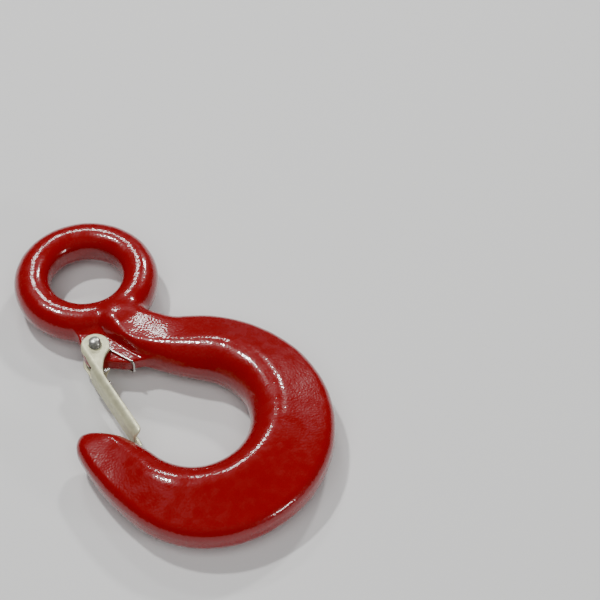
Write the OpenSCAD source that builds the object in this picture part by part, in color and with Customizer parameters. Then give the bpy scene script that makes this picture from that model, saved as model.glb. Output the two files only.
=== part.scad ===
// Eye hoist hook with a sprung safety latch, lying flat.
// The row frame: origin at the eye's centre on the forging's parting plane,
// +Y along the load line towards the eye's crown, +X towards the hook's back, +Z out of the hook's plane.

/* [Eye] */
// Bore of the eye
eye_id = 19; // [18.8:0.1:19.4]
// Radial thickness of the eye's bar once the bore is trimmed
eye_bar = 9.3; // [9.2:0.1:9.6]
// Radius of the eye's forged section
eye_round = 4.8; // [4.8:0.05:4.9]

/* [Bowl] */
// Eye centre to bowl centre along the load line
reach = 54; // [53.8:0.1:54.2]
// Radius of the opening
bowl_r = 15; // [14.8:0.1:15.2]
// Radius of the back's outer arc
back_r = 34.2; // [34:0.1:34.4]
// Half thickness along the crest beside the opening
crest = 7.2; // [7:0.1:7.4]
// Half thickness at the outer rim
rim = 4.3; // [4.2:0.1:4.5]

/* [Latch pivot] */
// Shank of the pivot bolt
bolt_d = 3; // [2.8:0.1:3]
// Clearance on the bolt's diameter in the hook's lug
bolt_play = 0.16; // [0.1:0.02:0.18]
// Thickness of the lug between the two spring coils
lug_t = 3.4; // [3.2:0.1:3.5]

/* [Latch] */
// Overall height of the latch channel
latch_h = 8; // [7.9:0.1:8.2]
// Sheet thickness
sheet = 0.9; // [0.9:0.1:1]
// Radius of the ears round the bolt
ear_r = 3.6; // [3.4:0.1:3.7]
// Pivot to nose
latch_len = 29.6; // [29.2:0.1:29.6]

/* [Spring] */
// Wire of the latch spring
wire_d = 0.6; // [0.5:0.05:0.6]

/* [Hidden] */
facets = 72;
inner_n = 9;
rim_n = 5;
ring_step = 5;
tip_end = -190;
tip_cap = 13;
neck_end = 91;
neck_cap = 7;
eye_mid = eye_id / 2 + eye_bar - eye_round;
pivot = [-9.3, -22.9];
latch_lean = -1.3;
web_x = -4.55;
bend_r = 2.4;
ear_play = 0.1;
ear_relief = -5.6;
relief_h = latch_h - 2 * sheet - 0.04;
head_h = 2;
head_d = 5.4;
head_gap = 0.02;
stub_h = 1.9;
stub_chamfer = 0.4;
coil_r = 1.9;
coil_pitch = 0.5;
wire_gap = 0.06;
coil_z = lug_t / 2 + wire_d / 2 + wire_gap;
tail_z = latch_h / 2 - sheet - wire_d / 2 - wire_gap;
through = 30;

// The bar's two edges are tangent arcs round the bowl's centre. An arc is [centre, radius], and a negative
// radius bows towards the bowl. Angles are in degrees, from +X, and run down past the back to the tip.
function direction(a) = [cos(a), sin(a)];
function carry_on(arc, r, a) = [arc[0] + (arc[1] - r) * direction(a), r];
function seen(arc, a) =
  let (p = arc[0] + arc[1] * direction(a), t = atan2(p[1], p[0])) t > 130 ? t - 360 : t;
function along(arc, a) =
  let (u = direction(a)) arc[0] * u + sign(arc[1]) * sqrt(pow(arc[1], 2) - pow(cross(arc[0], u), 2));

bowl = [[0, 0], bowl_r];
inner_neck = carry_on(bowl, -60, 48);
inner_jaw = carry_on(bowl, 12, -95);
inner_tip = carry_on(inner_jaw, -40, -164);
function inner_at(a) = along(
  a > 48 ? inner_neck : a > -95 ? bowl : a > seen(inner_jaw, -164) ? inner_jaw : inner_tip, a);

back = [[0.5, -2.5], back_r];
outer_jaw = carry_on(back, 26, -98);
outer_tip = carry_on(outer_jaw, 60, -162);
function ease(a, from, to) = let (t = max(0, min(1, (a - from) / (to - from)))) t * t * (3 - 2 * t);
function outer_at(a) = 8 * ease(a, 64, 90) + along(
  a > seen(back, -98) ? back : a > seen(outer_jaw, -162) ? outer_jaw : outer_tip, a);

// Thickness falls off from the bowl towards the eye and towards the tip.
function crest_at(a) = crest * (1 - 0.3 * ease(a, 30, 95)) * (1 - 0.45 * ease(a, -125, -200));
function rim_at(a) = rim + 0.8 * ease(a, 20, 80) - 1 * ease(a, -130, -195);
function corner_at(a) = 3.4 + 0.8 * ease(a, 30, 90) - 0.6 * ease(a, -140, -190);
function closing(a) =
  sqrt(1 - pow(max(0, (a - neck_end) / neck_cap, (tip_end - a) / tip_cap), 2));

// One section at the angle a: a full round beside the opening, a sloping flat face on each side, and small
// corners at the outer rim.
function ring(a) =
  let (inside = inner_at(a), width = outer_at(a) - inside, corner = corner_at(a),
       round_in = min(crest_at(a), width * 0.5),
       near = [round_in, 0], far = [width - corner, rim_at(a) - corner],
       lean = atan2(far[1], far[0] - near[0]) + acos((round_in - corner) / norm(far - near)),
       half = [
         for (i = [0:inner_n - 1]) near + round_in * direction(180 - (180 - lean) * i / (inner_n - 1)),
         for (i = [0:rim_n - 1]) far + corner * direction(lean * (1 - i / (rim_n - 1))),
       ],
       whole = [for (p = half) p, for (i = [len(half) - 1:-1:1]) [half[i][0], -half[i][1]]])
  [for (p = whole)
    let (radius = inside + width / 2 + (p[0] - width / 2) * closing(a))
    [radius * cos(a), radius * sin(a) - reach, p[1] * closing(a)]];
side_n = 2 * (inner_n + rim_n) - 1;
ANGLES = [
  for (t = [72:-24:24]) neck_end + neck_cap * sin(t),
  for (a = [neck_end:-ring_step:tip_end + ring_step]) a,
  for (t = [0:12:72]) tip_end - tip_cap * sin(t),
];

// A skin over rings of n points each, closed at both ends.
module skin(points, n) {
  m = len(points) / n;
  polyhedron(points, [
    [for (j = [n - 1:-1:0]) j],
    for (i = [0:m - 2]) for (j = [0:n - 1])
      each [[i * n + j, (i + 1) * n + (j + 1) % n, (i + 1) * n + j],
            [i * n + j, i * n + (j + 1) % n, (i + 1) * n + (j + 1) % n]],
    [for (j = [0:n - 1]) (m - 1) * n + j]
  ]);
}

module lug_shape() {
  translate(pivot) circle(r = 3.3, $fn = facets);
  polygon([
    pivot + [-2.45, -2.2],
    pivot + [5.4, -7.9],
    pivot + [7.4, -8.4],
    pivot + [11.5, -10],
    pivot + [11.5, 6],
    pivot + [1.5, 10],
    pivot + [-1.4, 7.4],
    pivot + [-3.2, 0.9],
  ]);
}

module hook_body() color("#b3121b") {
  difference() {
    union() {
      skin([for (a = ANGLES) each ring(a)], side_n);
      rotate_extrude($fn = facets) translate([eye_mid, 0]) circle(r = eye_round, $fn = 36);
      linear_extrude(lug_t, center = true) lug_shape();
    }
    cylinder(d = eye_id, h = through, center = true, $fn = facets);
    translate(pivot) cylinder(d = bolt_d + bolt_play, h = through, center = true, $fn = facets);
  }
}

// The latch in its own frame: the pivot at the origin, the nose towards -Y.
module flange_shape() {
  circle(r = ear_r, $fn = facets);
  polygon([
    [-ear_r, 0],
    [-ear_r, -1.6],
    [web_x, -6.4],
    [web_x, -latch_len],
    [-3.3, -latch_len],
    [-2.5, -latch_len + 0.4],
    [-2.05, -latch_len + 1.4],
    [-2.3, -11],
    [-1.8, -8],
    [-0.3, -5.4],
    [2.4, -2.7],
  ]);
}

module channel_section() {
  difference() {
    translate([web_x, -latch_h / 2]) left_rounded(through, latch_h, bend_r);
    translate([web_x + sheet, -latch_h / 2 + sheet]) left_rounded(through, latch_h - 2 * sheet, bend_r - sheet);
  }
}

// A block with its two left corners rounded.
module left_rounded(w, h, r) {
  translate([r, 0]) square([w - r, h]);
  translate([0, r]) square([r, h - 2 * r]);
  for (y = [r, h - r]) translate([r, y]) circle(r = r, $fn = facets);
}

module latch() color("#b9b6a8") {
  translate(pivot) rotate(latch_lean) difference() {
    intersection() {
      translate([0, 2 * ear_r, 0]) rotate([90, 0, 0]) linear_extrude(latch_len + 3 * ear_r) channel_section();
      linear_extrude(latch_h + 2, center = true) flange_shape();
    }
    translate([-through / 2, ear_relief, -relief_h / 2]) cube([through, through, relief_h]);
    cylinder(d = bolt_d + ear_play, h = through, center = true, $fn = facets);
  }
}

// The head below, the shank through both ears and the lug, and the chamfered end above.
module latch_bolt() color("#8d8c86") {
  shank_h = latch_h + stub_h - stub_chamfer;
  translate(pivot) {
    translate([0, 0, -latch_h / 2 - head_gap]) cylinder(d = bolt_d, h = shank_h + head_gap, $fn = facets);
    translate([0, 0, latch_h / 2 + stub_h - stub_chamfer])
      cylinder(d1 = bolt_d, d2 = bolt_d - 2 * stub_chamfer, h = stub_chamfer, $fn = facets);
    translate([0, 0, -latch_h / 2 - head_h]) cylinder(d = head_d, h = head_h - head_gap, $fn = facets);
  }
}

// The spring's upper half, from the tail in the latch, round a tightening turn beside the lug, to the middle of
// the bridge that crosses the lug's lower edge.
bridge_dir = [0.42, -0.9075];
bridge_start = atan2(bridge_dir[0], -bridge_dir[1]);
bridge_len = 10.5;
tail_angle = 180;
turn_end = bridge_start - 360;
bridge_foot = coil_r * direction(bridge_start);
function coil_at(a) = coil_r + coil_pitch * (a - turn_end) / 360;
function on_bridge(share, z) = concat(bridge_foot + share * bridge_dir, z);
HALF = [
  [-0.2, -7.7, tail_z],
  [-1.7, -7.9, tail_z],
  [-2.1, -7.6, tail_z],
  [-2.2, -7.1, tail_z],
  [-2.25, -5.5, tail_z],
  for (a = [tail_angle:-15:turn_end + 1])
    concat(coil_at(a) * direction(a), tail_z + (coil_z - tail_z) * (tail_angle - a) / (tail_angle - turn_end)),
  on_bridge(bridge_len * 0.5, coil_z),
  on_bridge(bridge_len - 0.7, coil_z),
  on_bridge(bridge_len - 0.2, coil_z - 0.2),
  on_bridge(bridge_len, coil_z - 0.7),
];
count = len(HALF);
PATH = [
  for (p = HALF) p,
  for (i = [count - 1:-1:0]) [HALF[i][0], HALF[i][1], -HALF[i][2]],
];

function unit(v) = v / norm(v);
function heading(i) = unit(PATH[min(i + 1, len(PATH) - 1)] - PATH[max(i - 1, 0)]);
function square_to(v, h) = unit(v - (v * h) * h);
// Normals carried along the wire so that it never twists.
function carried(i, v, out) =
  i == len(PATH) ? out
  : let (n = square_to(v, heading(i))) carried(i + 1, n, concat(out, [n]));
NORMALS = carried(0, [0, 0, 1], []);
function wire_ring(i, n) =
  let (side = cross(NORMALS[i], heading(i)))
  [for (j = [0:n - 1]) PATH[i] + wire_d / 2 * (cos(360 * j / n) * NORMALS[i] + sin(360 * j / n) * side)];

module latch_spring() color("#c9c7bd") {
  translate(pivot) skin([for (i = [0:len(PATH) - 1]) each wire_ring(i, 10)], 10);
}

hook_body();
latch();
latch_bolt();
latch_spring();
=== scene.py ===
import math

import bpy
import numpy as np
from mathutils import Matrix, Vector


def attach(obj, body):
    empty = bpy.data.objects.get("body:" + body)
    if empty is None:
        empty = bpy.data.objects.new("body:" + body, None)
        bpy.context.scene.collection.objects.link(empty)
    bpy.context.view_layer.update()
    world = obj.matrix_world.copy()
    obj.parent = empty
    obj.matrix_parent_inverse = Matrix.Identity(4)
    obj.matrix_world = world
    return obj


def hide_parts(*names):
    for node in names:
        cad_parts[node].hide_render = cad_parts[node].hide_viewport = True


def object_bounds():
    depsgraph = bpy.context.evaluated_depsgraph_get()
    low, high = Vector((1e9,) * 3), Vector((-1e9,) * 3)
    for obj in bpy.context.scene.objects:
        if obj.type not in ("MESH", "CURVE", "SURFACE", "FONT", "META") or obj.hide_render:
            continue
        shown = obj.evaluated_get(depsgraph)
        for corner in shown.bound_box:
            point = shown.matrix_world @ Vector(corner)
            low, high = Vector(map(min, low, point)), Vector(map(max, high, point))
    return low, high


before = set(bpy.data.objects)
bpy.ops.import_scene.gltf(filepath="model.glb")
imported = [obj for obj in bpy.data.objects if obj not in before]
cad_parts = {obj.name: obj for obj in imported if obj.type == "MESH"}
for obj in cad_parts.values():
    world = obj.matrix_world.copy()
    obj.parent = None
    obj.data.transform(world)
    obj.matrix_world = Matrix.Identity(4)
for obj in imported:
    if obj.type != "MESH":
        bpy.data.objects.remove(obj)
cad_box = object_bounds()
MM = 0.001

# ---- the forging as one smooth field: below zero inside the steel, in millimetres ----

PIVOT = np.array([-9.3, -22.9])
REACH = 54.0
EYE_BORE = 9.5
EYE_MID = 14.0
EYE_ROUND = 4.8
EYE_POWER = 2.15
LUG = [
    (-2.45, -2.2), (5.4, -7.9), (7.4, -8.4), (11.5, -10.0),
    (11.5, 6.0), (1.5, 10.0), (-1.4, 7.4), (-3.2, 0.9),
]
LUG_ROUND = 3.3
LUG_HALF = 1.7
LUG_EDGE = 0.35
LUG_BORE = 1.58
LUG_BORE_EDGE = 0.2
EYE_BORE_EDGE = 0.5
EYE_FILLET = 4.0
LUG_FILLET = 1.6
UNEVEN = 0.035
BOWL_R, BACK_R = 15.0, 34.2
CREST, RIM = 7.2, 4.3
NECK_END, NECK_CAP = 91.0, 7.0
TIP_END, TIP_CAP = -190.0, 13.0


def direction(a):
    """The unit vector at the angle a, in degrees from +X."""
    return np.stack([np.cos(np.radians(a)), np.sin(np.radians(a))], -1)


def carry_on(arc, radius, a):
    """The arc of this radius that goes on from another one, tangent to it in the direction a."""
    return arc[0] + (arc[1] - radius) * direction(a), radius


def seen(arc, a):
    """The angle at which the bowl's centre sees an arc's point in the direction a."""
    x, y = arc[0] + arc[1] * direction(a)
    t = math.degrees(math.atan2(y, x))
    return t - 360 if t > 130 else t


def along(arc, a):
    """How far the bowl's centre is from an arc in the direction a."""
    u = direction(a)
    off = arc[0][0] * u[..., 1] - arc[0][1] * u[..., 0]
    return u @ arc[0] + math.copysign(1, arc[1]) * np.sqrt(np.maximum(arc[1] ** 2 - off**2, 0))


def ease(a, start, end):
    """From 0 at start to 1 at end, level at both."""
    t = np.clip((a - start) / (end - start), 0, 1)
    return t * t * (3 - 2 * t)


BOWL = (np.zeros(2), BOWL_R)
INNER_NECK = carry_on(BOWL, -60, 48)
INNER_JAW = carry_on(BOWL, 12, -95)
INNER_TIP = carry_on(INNER_JAW, -40, -164)
BACK = (np.array([0.5, -2.5]), BACK_R)
OUTER_JAW = carry_on(BACK, 26, -98)
OUTER_TIP = carry_on(OUTER_JAW, 60, -162)


def inner_at(a):
    """The bar's inner edge in the direction a, from the bowl's centre."""
    jaw = np.where(a > seen(INNER_JAW, -164), along(INNER_JAW, a), along(INNER_TIP, a))
    return np.where(a > 48, along(INNER_NECK, a), np.where(a > -95, along(BOWL, a), jaw))


def outer_at(a):
    """The bar's outer edge in the direction a, from the bowl's centre."""
    jaw = np.where(a > seen(OUTER_JAW, -162), along(OUTER_JAW, a), along(OUTER_TIP, a))
    return 8 * ease(a, 64, 90) + np.where(a > seen(BACK, -98), along(BACK, a), jaw)


ANGLES = np.linspace(TIP_END - TIP_CAP, NECK_END + NECK_CAP, 1200)
INNER = inner_at(ANGLES)
WIDTH = outer_at(ANGLES) - INNER
CORNER = 3.4 + 0.8 * ease(ANGLES, 30, 90) - 0.6 * ease(ANGLES, -140, -190)
RIM_H = RIM + 0.8 * ease(ANGLES, 20, 80) - 1 * ease(ANGLES, -130, -195)
ROUND_IN = np.minimum(
    CREST * (1 - 0.3 * ease(ANGLES, 30, 95)) * (1 - 0.45 * ease(ANGLES, -125, -200)), WIDTH * 0.5)


def blend_min(a, b, k):
    """The union of two fields, with a fillet about k wide."""
    h = np.clip(0.5 + 0.5 * (b - a) / k, 0, 1)
    return b + (a - b) * h - k * h * (1 - h)


def blend_max(a, b, k):
    """What two fields share, with an edge rounded about k wide."""
    return -blend_min(-a, -b, k)


def bar_field(x, y, z):
    """A bar with a full round beside the opening, sloping flat faces and rounded corners at its outer rim."""
    radius = np.hypot(x, y + REACH)
    angle = np.degrees(np.arctan2(y + REACH, x))
    angle = np.where(angle > 128, angle - 360, angle)
    inside, width, corner, rim_h, round_in = (
        np.interp(angle, ANGLES, row) for row in (INNER, WIDTH, CORNER, RIM_H, ROUND_IN))
    past = np.maximum(np.maximum((angle - NECK_END) / NECK_CAP, (TIP_END - angle) / TIP_CAP), 0)
    closing = np.sqrt(np.clip(1 - past**2, 0.01, 1))
    s = width / 2 + (radius - inside - width / 2) / closing
    up = np.abs(z) / closing
    far_s, far_up = width - corner, rim_h - corner
    run, rise = far_s - round_in, far_up
    lean = np.arctan2(rise, run) + np.arccos(np.clip((round_in - corner) / np.hypot(run, rise), -1, 1))
    nx, nz = np.cos(lean), np.sin(lean)
    face = (s - round_in) * nx + up * nz - round_in
    before = (s - round_in) * nz - up * nx < 0
    top = np.where(before, np.hypot(s - round_in, up) - round_in, face)
    beyond = ((s - far_s) * nz - (up - far_up) * nx > 0) & (up > far_up)
    flat = np.where(beyond, np.hypot(s - far_s, up - far_up) - corner, np.maximum(top, s - width))
    return np.maximum(flat * closing, (past - 0.99) * 4)


def eye_field(x, y, z):
    """A ring whose section is a circle, very slightly squared."""
    across = np.abs(np.hypot(x, y) - EYE_MID) / EYE_ROUND
    up = np.abs(z) / EYE_ROUND
    return ((across**EYE_POWER + up**EYE_POWER) ** (1 / EYE_POWER) - 1) * EYE_ROUND


def outline_field(px, py, pts):
    """The distance in plan to a closed outline, below zero inside it."""
    pts = np.array(pts)
    nearest = np.full(px.shape, 1e9)
    inside = np.zeros(px.shape, bool)
    for (ax, ay), (bx, by) in zip(pts, np.roll(pts, -1, axis=0)):
        ex, ey = bx - ax, by - ay
        t = np.clip(((px - ax) * ex + (py - ay) * ey) / (ex * ex + ey * ey), 0, 1)
        nearest = np.minimum(nearest, np.hypot(px - ax - t * ex, py - ay - t * ey))
        run = ax + (py - ay) * ex / (ey if ey else 1e-9)
        inside ^= ((ay > py) != (by > py)) & (px < run)
    return np.where(inside, -nearest, nearest)


def lug_field(x, y, z):
    """The flat lug that the latch's ears straddle."""
    px, py = x - PIVOT[0], y - PIVOT[1]
    plan = np.minimum(outline_field(px, py, LUG), np.hypot(px, py) - LUG_ROUND)
    return blend_max(plan, np.abs(z) - LUG_HALF, LUG_EDGE)


def forging_field(p):
    """Bar, eye and lug with fillets between them, both bores, and a forging's slight waviness."""
    x, y, z = p[..., 0], p[..., 1], p[..., 2]
    body = blend_min(bar_field(x, y, z), eye_field(x, y, z), EYE_FILLET)
    body = blend_min(body, lug_field(x, y, z), LUG_FILLET)
    body = blend_max(body, EYE_BORE - np.hypot(x, y), EYE_BORE_EDGE)
    body = blend_max(body, LUG_BORE - np.hypot(x - PIVOT[0], y - PIVOT[1]), LUG_BORE_EDGE)
    wave_x = np.sin(x * 0.61 + 1.3 * np.sin(y * 0.37))
    wave_y = np.sin(y * 0.53 + 0.9 * np.sin(z * 0.8 + x * 0.21))
    return body + UNEVEN * (wave_x * wave_y)


# ---- a skin over a field ----


def skin_of(field, low, high, cell, relax=2):
    """Quads over the zero level of field inside the box, each corner brought onto that level."""
    low, high = np.array(low, float), np.array(high, float)
    n = np.ceil((high - low) / cell).astype(int) + 1
    axes = [low[i] + cell * np.arange(n[i]) for i in range(3)]
    grid = np.stack(np.meshgrid(*axes, indexing="ij"), -1)
    value = field(grid)
    solid = value < 0
    total = np.zeros(tuple(n - 1) + (3,))
    count = np.zeros(tuple(n - 1))
    for axis in range(3):
        here = [slice(None)] * 3
        there = [slice(None)] * 3
        here[axis], there[axis] = slice(0, -1), slice(1, None)
        a, b = value[tuple(here)], value[tuple(there)]
        cut = solid[tuple(here)] != solid[tuple(there)]
        t = np.where(cut, a / np.where(cut, a - b, 1), 0)
        point = grid[tuple(here)] + 0
        point[..., axis] += t * cell
        others = [k for k in range(3) if k != axis]
        for i in (0, 1):
            for j in (0, 1):
                window = [slice(None)] * 3
                for k, o in zip(others, (i, j)):
                    window[k] = slice(o, n[k] - 1 + o)
                w = tuple(window)
                total += np.where(cut[w][..., None], point[w], 0)
                count += cut[w]
    used = count > 0
    index = np.full(tuple(n - 1), -1)
    index[used] = np.arange(used.sum())
    verts = total[used] / count[used][:, None]
    faces = []
    for axis in range(3):
        p, q = (axis + 1) % 3, (axis + 2) % 3
        here = [slice(1, -1)] * 3
        here[axis] = slice(0, -1)
        there = list(here)
        there[axis] = slice(1, None)
        a, b = solid[tuple(here)], solid[tuple(there)]
        at = np.argwhere(a != b)
        base = at.copy()
        base[:, [p, q]] += 1
        flip = a[tuple(at.T)]
        ring = []
        for dp, dq in ((-1, -1), (0, -1), (0, 0), (-1, 0)):
            c = base.copy()
            c[:, p] += dp
            c[:, q] += dq
            ring.append(index[tuple(c.T)])
        ring = np.stack(ring, -1)
        faces.append(np.where(flip[:, None], ring, ring[:, ::-1]))
    faces = np.concatenate(faces)
    edges = np.concatenate([faces[:, [i, (i + 1) % 4]] for i in range(4)])
    for step in range(relax + 1):
        if step:
            near = np.zeros_like(verts)
            ties = np.zeros(len(verts))
            for a, b in ((0, 1), (1, 0)):
                np.add.at(near, edges[:, a], verts[edges[:, b]])
                np.add.at(ties, edges[:, a], 1)
            verts += 0.6 * (near / ties[:, None] - verts)
        for _ in range(3):
            verts = onto(field, verts, cell)
    return verts, faces


def slope(field, p):
    step = 0.02
    parts = []
    for axis in range(3):
        off = np.zeros(3)
        off[axis] = step
        parts.append((field(p + off) - field(p - off)) / (2 * step))
    return np.stack(parts, -1)


def onto(field, p, cell):
    """The points moved along the field's slope to its zero level, by at most half a cell."""
    g = slope(field, p)
    move = -field(p)[:, None] * g / np.maximum((g * g).sum(-1, keepdims=True), 0.05)
    far = np.linalg.norm(move, axis=1, keepdims=True)
    return p + move * np.minimum(1, 0.5 * cell / np.maximum(far, 1e-9))


def piece(name, verts, faces):
    """A smooth object made from points in millimetres."""
    mesh = bpy.data.meshes.new(name)
    mesh.from_pydata((np.asarray(verts) * MM).tolist(), [], [list(map(int, f)) for f in faces])
    mesh.validate()
    mesh.update()
    for poly in mesh.polygons:
        poly.use_smooth = True
    obj = bpy.data.objects.new(name, mesh)
    bpy.context.scene.collection.objects.link(obj)
    return obj


# ---- the latch: a bent channel with round ears ----

LATCH_HALF = 4.0
SHEET = 0.9
WEB = -4.55
BEND_OUT = 2.4
BEND_IN = BEND_OUT - SHEET
LATCH_LEN = 29.6
EAR_R = 3.6
EAR_FILLET = 1.2
EAR_BORE = 1.53
EAR_RELIEF = -5.6
LEAN = math.radians(-1.3)
FLANGE = [
    (-EAR_R, 0), (-EAR_R, -1.6), (WEB, -6.4), (WEB, -LATCH_LEN),
    (-3.4, -LATCH_LEN), (-2.9, -29.5), (-2.45, -29.2), (-2.15, -28.7), (-2.0, -28.1),
    (-2.3, -11), (-2.25, -9.6), (-1.8, -7.8), (-0.3, -5.4), (1.2, -3.6), (2.4, -2.7),
]


def left_rounded_field(x, up, left, half, r):
    """A block of this half height from left onwards, with its two left corners rounded."""
    dx = np.maximum(left + r - x, 0)
    dz = np.maximum(up - (half - r), 0)
    return np.where((dx == 0) & (dz == 0), np.maximum(left - x, up - half), np.hypot(dx, dz) - r)


def latch_field(p):
    """In the latch's own frame: the pivot at the origin and the nose towards -Y."""
    x, y, z = p[..., 0], p[..., 1], p[..., 2]
    plan = outline_field(x, y, FLANGE)
    plan = blend_min(plan, np.hypot(x, y) - EAR_R, EAR_FILLET)
    up = np.abs(z)
    outside = left_rounded_field(x, up, WEB, LATCH_HALF, BEND_OUT)
    room = left_rounded_field(x, up, WEB + SHEET, LATCH_HALF - SHEET, BEND_IN)
    between_ears = np.maximum(up - (LATCH_HALF - SHEET), EAR_RELIEF - y)
    sheet = blend_max(outside, -np.minimum(between_ears, room), 0.12)
    body = blend_max(sheet, plan, 0.3)
    return blend_max(body, EAR_BORE - np.hypot(x, y), 0.16)


def from_latch(p):
    """Points of the latch's own frame, in the hook's frame."""
    c, s = math.cos(LEAN), math.sin(LEAN)
    p = np.asarray(p, float)
    return np.stack([p[:, 0] * c - p[:, 1] * s + PIVOT[0], p[:, 0] * s + p[:, 1] * c + PIVOT[1], p[:, 2]], -1)


# ---- wire and thread ----


def tube(path, radius):
    """A round wire along a path, closed at both ends."""
    sides = 18
    path = np.asarray(path, float)
    heading = np.gradient(path, axis=0)
    heading /= np.linalg.norm(heading, axis=1)[:, None]
    normal = np.array([0.0, 0.0, 1.0])
    verts = []
    turn = np.arange(sides) * 2 * math.pi / sides
    for h, p in zip(heading, path):
        normal = normal - h * normal.dot(h)
        normal /= np.linalg.norm(normal)
        side = np.cross(h, normal)
        verts.append(p + radius * (np.cos(turn)[:, None] * normal + np.sin(turn)[:, None] * side))
    m = len(path)
    verts = np.concatenate(verts + [path[:1], path[-1:]])
    faces = []
    for i in range(m - 1):
        for j in range(sides):
            k = (j + 1) % sides
            faces.append((i * sides + j, i * sides + k, (i + 1) * sides + k, (i + 1) * sides + j))
    for j in range(sides):
        k = (j + 1) % sides
        faces.append((m * sides, k, j))
        faces.append((m * sides + 1, (m - 1) * sides + j, (m - 1) * sides + k))
    return verts, faces


def spline(a, b, c, d, t):
    """The point a share t of the way from b to c on the smooth line through all four."""
    return 0.5 * (2 * b + (c - a) * t + (2 * a - 5 * b + 4 * c - d) * t * t + (3 * b - a - 3 * c + d) * t**3)


def rounded(points):
    """A smooth line through the points."""
    steps = 8
    pts = np.array(points, float)
    last = len(pts) - 1
    out = []
    for i in range(last):
        a, b, c, d = (pts[min(max(j, 0), last)] for j in (i - 1, i, i + 1, i + 2))
        out += [spline(a, b, c, d, k / steps) for k in range(steps)]
    out.append(pts[last])
    return np.array(out)


WIRE = 0.3
WIRE_GAP = 0.06
COIL_R = 1.9
COIL_PITCH = 0.5
COIL_Z = LUG_HALF + WIRE + WIRE_GAP
TAIL_Z = LATCH_HALF - SHEET - WIRE - WIRE_GAP
BRIDGE = np.array([0.42, -0.9075])
BRIDGE_FROM = math.degrees(math.atan2(BRIDGE[0], -BRIDGE[1]))
BRIDGE_LEN = 10.5
SPAN = 180 - BRIDGE_FROM + 360
TAIL = [
    (-2.6, -0.5), (-2.4, -3.0), (-2.25, -5.5), (-2.2, -7.1),
    (-2.1, -7.6), (-1.7, -7.9), (-0.9, -7.8), (-0.2, -7.7),
]


def coil_point(a):
    """A turn that tightens and comes in towards the lug, from the tail at 180 degrees down to the bridge."""
    r = math.radians(a)
    radius = COIL_R + COIL_PITCH * (a + 360 - BRIDGE_FROM) / 360
    z = TAIL_Z + (COIL_Z - TAIL_Z) * (180 - a) / SPAN
    return radius * math.cos(r), radius * math.sin(r), z


def spring_pieces():
    """The line of the coils and bridge, and the lines of the two tails."""
    foot = COIL_R * direction(BRIDGE_FROM)
    turns = [coil_point(a) for a in np.arange(180, BRIDGE_FROM - 360 - 0.01, -6)]
    ends = [(0.25, 0), (0.5, 0), (0.8, 0), (0.93, 0), (0.98, -0.2), (1.0, -0.7)]
    leg = [(*(foot + BRIDGE * BRIDGE_LEN * share), COIL_Z + rise) for share, rise in ends]
    half = turns + rounded(leg).tolist()
    across = [(half[-1][0], half[-1][1], z) for z in np.linspace(half[-1][2], -half[-1][2], 12)[1:-1]]
    whole = half + across + [(x, y, -z) for x, y, z in reversed(half)]
    tails = []
    for side in (1, -1):
        lead = [coil_point(a) for a in np.arange(128, 180.1, 6)]
        straight = rounded([(x, y, TAIL_Z) for x, y in TAIL])
        line = np.array(lead + straight.tolist())
        line[:, 2] *= side
        tails.append(line)
    return np.array(whole), tails


BOLT_R = 1.5
BOLT_TOP = LATCH_HALF + 1.9
BOLT_CHAMFER = 0.42
THREAD_PITCH = 0.5
THREAD_DEPTH = 0.3
THREAD_FROM = 0.6
HEAD = [(2.45, -4.0), (2.68, -4.12), (2.7, -4.5), (2.62, -5.0), (2.35, -5.5), (1.95, -5.85), (1.55, -5.98)]
SOCKET = [(1.0, -5.98), (0.98, -5.9), (0.98, -4.9)]


def bolt_mesh():
    """A helical thread above, a plain shank, and a button head with a hexagonal socket below."""
    sides = 72
    turn = np.arange(sides) * 2 * math.pi / sides
    flat = 1.0 / np.cos((turn + math.pi / 6) % (math.pi / 3) - math.pi / 6)

    def ring(radius, z):
        return np.stack([radius * np.cos(turn), radius * np.sin(turn), np.full(sides, z)], -1)

    shank = []
    for z in np.arange(-LATCH_HALF, BOLT_TOP + 1e-6, 0.05):
        groove = np.abs(((z / THREAD_PITCH - turn / (2 * math.pi)) % 1) - 0.5) * 2
        depth = THREAD_DEPTH * np.clip(groove * 1.25 - 0.12, 0, 1)
        depth = depth * np.clip((z - THREAD_FROM) / 0.6, 0, 1)
        end_r = BOLT_R - max(0.0, z - (BOLT_TOP - BOLT_CHAMFER))
        shank.append(ring(np.minimum(BOLT_R - depth, end_r), z))
    socket = [ring(r * flat, z) for r, z in reversed(SOCKET)]
    head = [ring(r, z) for r, z in reversed(HEAD)]
    rings = socket + head + shank
    verts = np.concatenate(rings + [np.array([[0, 0, -4.75], [0, 0, BOLT_TOP + 0.02]])])
    faces = []
    for i in range(len(rings) - 1):
        for j in range(sides):
            k = (j + 1) % sides
            faces.append((i * sides + j, i * sides + k, (i + 1) * sides + k, (i + 1) * sides + j))
    end = len(rings)
    for j in range(sides):
        k = (j + 1) % sides
        faces.append((end * sides, k, j))
        faces.append((end * sides + 1, (end - 1) * sides + j, (end - 1) * sides + k))
    verts[:, :2] += PIVOT
    return verts, faces


# ---- materials ----


def material(name):
    """An empty material with a Principled shader, and its nodes and links."""
    mat = bpy.data.materials.new(name)
    mat.use_nodes = True
    nodes = mat.node_tree.nodes
    nodes.clear()
    out = nodes.new("ShaderNodeOutputMaterial")
    shader = nodes.new("ShaderNodeBsdfPrincipled")
    mat.node_tree.links.new(shader.outputs[0], out.inputs[0])
    return mat, nodes, mat.node_tree.links, shader


def noise(nodes, links, where, scale, detail=2.0, rough=0.5):
    n = nodes.new("ShaderNodeTexNoise")
    n.inputs["Scale"].default_value = scale
    n.inputs["Detail"].default_value = detail
    n.inputs["Roughness"].default_value = rough
    links.new(where, n.inputs["Vector"])
    return n.outputs["Fac"]


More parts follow.
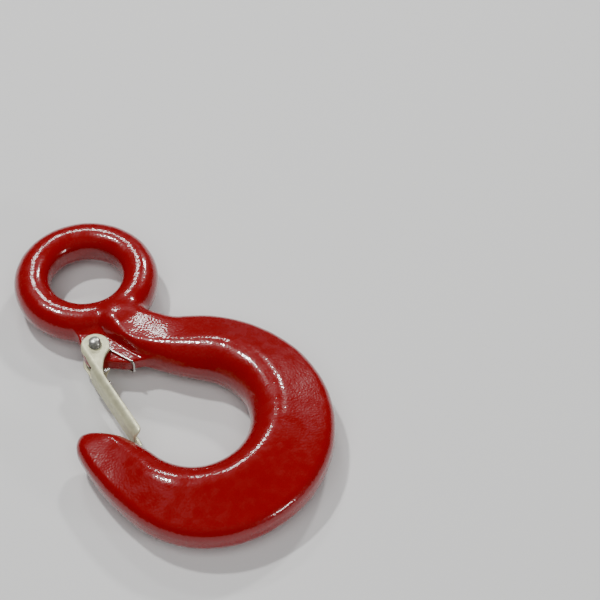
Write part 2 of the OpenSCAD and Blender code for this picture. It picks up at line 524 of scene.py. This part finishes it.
def ramp(nodes, links, fac, start, end):
    """A colour ramp between two stops, each a position and a colour."""
    r = nodes.new("ShaderNodeValToRGB")
    for element, (position, colour) in zip(r.color_ramp.elements, (start, end)):
        element.position = position
        element.color = (*colour, 1)
    links.new(fac, r.inputs["Fac"])
    return r.outputs["Color"]


def bump(nodes, links, height, distance, strength, under=None):
    b = nodes.new("ShaderNodeBump")
    b.inputs["Strength"].default_value = strength
    b.inputs["Distance"].default_value = distance
    links.new(height, b.inputs["Height"])
    if under is not None:
        links.new(under, b.inputs["Normal"])
    return b.outputs["Normal"]


def red_paint():
    """Glossy dipped paint: a slightly uneven red under a clear coat with a fine orange peel."""
    mat, nodes, links, s = material("red_paint")
    where = nodes.new("ShaderNodeTexCoord").outputs["Object"]
    tone = noise(nodes, links, where, 90, 3)
    dark, light = (0.232, 0.0008, 0.0026), (0.240, 0.0010, 0.0029)
    links.new(ramp(nodes, links, tone, (0.3, dark), (0.7, light)), s.inputs["Base Color"])
    grit = noise(nodes, links, where, 420, 2)
    links.new(ramp(nodes, links, grit, (0.35, (0.20,) * 3), (0.7, (0.34,) * 3)), s.inputs["Roughness"])
    s.inputs["Specular IOR Level"].default_value = 0.2
    s.inputs["Coat Weight"].default_value = 0.7
    s.inputs["Coat Roughness"].default_value = 0.04
    peel = bump(nodes, links, noise(nodes, links, where, 420, 1), 0.00008, 0.28)
    fine = bump(nodes, links, noise(nodes, links, where, 1900, 0), 0.00008, 0.4, peel)
    links.new(fine, s.inputs["Normal"])
    links.new(fine, s.inputs["Coat Normal"])
    return mat


def zinc(name, dark, light, rough, metal, scale=500):
    """Plated or bright steel, clouded between two tones and two roughnesses."""
    mat, nodes, links, s = material(name)
    where = nodes.new("ShaderNodeTexCoord").outputs["Object"]
    cloud = noise(nodes, links, where, scale, 4, 0.6)
    links.new(ramp(nodes, links, cloud, (0.3, dark), (0.7, light)), s.inputs["Base Color"])
    s.inputs["Metallic"].default_value = metal
    wear = noise(nodes, links, where, scale * 2.3, 2)
    low, high = rough
    links.new(ramp(nodes, links, wear, (0.3, (low,) * 3), (0.7, (high,) * 3)), s.inputs["Roughness"])
    links.new(bump(nodes, links, noise(nodes, links, where, 1800, 3), 0.00003, 0.4), s.inputs["Normal"])
    return mat


# ---- build ----

HOOK_CELL = 0.42
LATCH_CELL = 0.17

verts, faces = skin_of(forging_field, (-29.5, -93, -8.2), (37.5, 20, 8.2), HOOK_CELL)
hook = piece("forging", verts, faces)
hook.data.materials.append(red_paint())
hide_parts("hook_body")
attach(hook, "hook")

verts, faces = skin_of(latch_field, (-5.2, -30.2, -4.4), (4.2, 4.2, 4.4), LATCH_CELL, 1)
latch = piece("latch_channel", from_latch(verts), faces)
latch.data.materials.append(zinc("latch_zinc", (0.50, 0.49, 0.32), (0.70, 0.68, 0.45), (0.34, 0.5), 0.4))
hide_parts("latch")
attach(latch, "latch")

bolt = piece("pivot_bolt", *bolt_mesh())
bolt.data.materials.append(zinc("bolt_zinc", (0.46, 0.45, 0.40), (0.68, 0.67, 0.62), (0.28, 0.4), 0.85, 800))
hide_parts("latch_bolt")
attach(bolt, "latch")

wire = zinc("spring_wire", (0.48, 0.47, 0.44), (0.66, 0.65, 0.62), (0.18, 0.3), 1.0, 700)
whole, tails = spring_pieces()
place = np.array([*PIVOT, 0])
spring = piece("spring_coils", *tube(whole + place, WIRE))
spring.data.materials.append(wire)
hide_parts("latch_spring")
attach(spring, "hook")
# A tail's first stretch lies inside its coil, so its wire is a little thinner.
for label, line in zip(("upper", "lower"), tails):
    tail = piece("spring_tail_" + label, *tube(line + place, WIRE * 0.985))
    tail.data.materials.append(wire)
    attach(tail, "latch")

# ---- floor, light and camera ----

low = cad_box[0]
floor_mesh = bpy.data.meshes.new("floor")
FLOOR_HALF = 3.0
corners = [(x * FLOOR_HALF, y * FLOOR_HALF, low[2]) for x, y in ((-1, -1), (1, -1), (1, 1), (-1, 1))]
floor_mesh.from_pydata(corners, [], [(0, 1, 2, 3)])
floor = bpy.data.objects.new("floor", floor_mesh)
bpy.context.scene.collection.objects.link(floor)
mat, nodes, links, s = material("floor_pale")
s.inputs["Base Color"].default_value = (0.74, 0.74, 0.73, 1)
s.inputs["Roughness"].default_value = 0.75
floor_mesh.materials.append(mat)

# The camera looks down at TILT, turned by TURN about the vertical, straight at AIM from AWAY metres.
TURN = math.radians(32)
TILT = math.radians(50)
AIM = Vector((0.044, -0.035, 0))
AWAY = 0.493
back = Matrix.Rotation(-TURN, 3, "Z")
ahead = back @ Vector((0, math.cos(TILT), -math.sin(TILT)))
above = back @ Vector((0, math.sin(TILT), math.cos(TILT)))
right = back @ Vector((1, 0, 0))
camera = bpy.data.objects.new("camera", bpy.data.cameras.new("camera"))
camera.data.sensor_width = 36
camera.data.lens = 114
facing = Matrix((right, above, -ahead)).transposed().to_4x4()
camera.matrix_world = Matrix.Translation(AIM - AWAY * ahead) @ facing
bpy.context.scene.collection.objects.link(camera)
bpy.context.scene.camera = camera


HOOK_MIDDLE = Vector((0.004, -0.04, 0))


def area(name, place, size, power, glossy=True):
    """A light aimed at the hook, placed in metres along the picture's own directions: right, away and up."""
    data = bpy.data.lights.new(name, "AREA")
    data.shape = "RECTANGLE"
    data.size, data.size_y = size
    data.energy = power
    lamp = bpy.data.objects.new(name, data)
    here = back @ Vector(place)
    lamp.location = here
    lamp.rotation_euler = (HOOK_MIDDLE - here).to_track_quat("-Z", "Y").to_euler()
    lamp.visible_glossy = glossy
    bpy.context.scene.collection.objects.link(lamp)


area("key", (-0.22, 0.20, 0.69), (0.055, 0.045), 3.0)
area("window", (0.27, 0.54, 0.52), (0.07, 0.06), 2.2)
area("behind", (-0.09, 0.52, 0.58), (0.12, 0.05), 0.9)
area("side", (0.60, -0.36, 0.22), (0.12, 0.06), 1.0)
# A broad fill that lights the paint without a mirror image of itself in it.
area("fill", (0.0, -0.45, 0.75), (0.9, 0.6), 4.6, glossy=False)

world = bpy.data.worlds.new("studio")
world.use_nodes = True
sky = world.node_tree.nodes["Background"]
sky.inputs["Color"].default_value = (0.9, 0.93, 1.0, 1)
sky.inputs["Strength"].default_value = 0.07
bpy.context.scene.world = world
